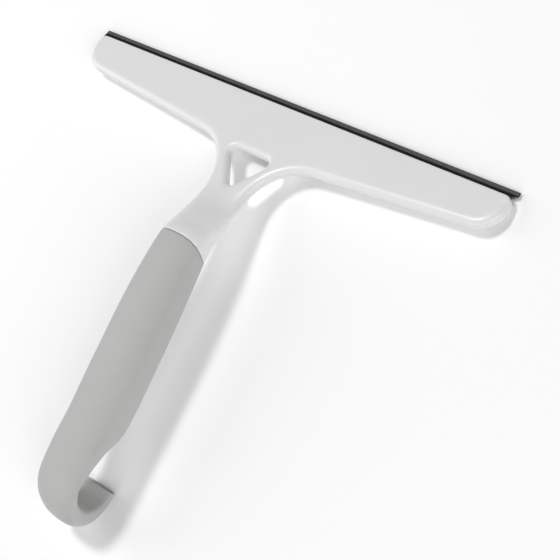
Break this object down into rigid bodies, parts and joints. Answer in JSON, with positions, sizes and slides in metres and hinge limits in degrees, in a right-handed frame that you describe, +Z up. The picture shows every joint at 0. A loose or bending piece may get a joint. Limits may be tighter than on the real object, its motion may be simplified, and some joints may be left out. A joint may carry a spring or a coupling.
{
  "type": "window cleaning squeegee",
  "caption": "Hand-held window squeegee: slim moulded head on a triangular yoke, soft grip ending in a hanging hook, and a straight silicone wiping blade clamped in the head.",
  "frame": {"origin": "bounding-box bottom centre of the squeegee lying face up: the head's rear land and the hook's underside rest on z = 0", "axes": "+X along the wiping blade; +Y from the handle's hook towards the wiping edge; +Z up, out of the front face"},
  "size_m": [0.235, 0.1984, 0.0346],
  "materials": {
    "white_moulding": "satin",
    "soft_grip": "matte",
    "silicone": "satin"
  },
  "bodies": {
    "handle": {"head_and_handle_frame": "white_moulding", "rear_clamp_strip": "white_moulding", "grip_sleeve": "soft_grip"},
    "blade": {"blade_root": "silicone"},
    "lip": {"blade_lip": "silicone"}
  },
  "joints": [
    {"name": "blade_slide", "type": "slide", "parent": "handle", "child": "blade", "axis": [1, 0, 0], "range_m": [-0.235, 0]},
    {"name": "lip_flex", "type": "hinge", "parent": "blade", "child": "lip", "pos_m": [0, 0.09551, 0.00202], "axis": [1, 0, 0], "range_deg": [-35, 35], "stiffness_Nm_per_rad": 0.24}
  ]
}
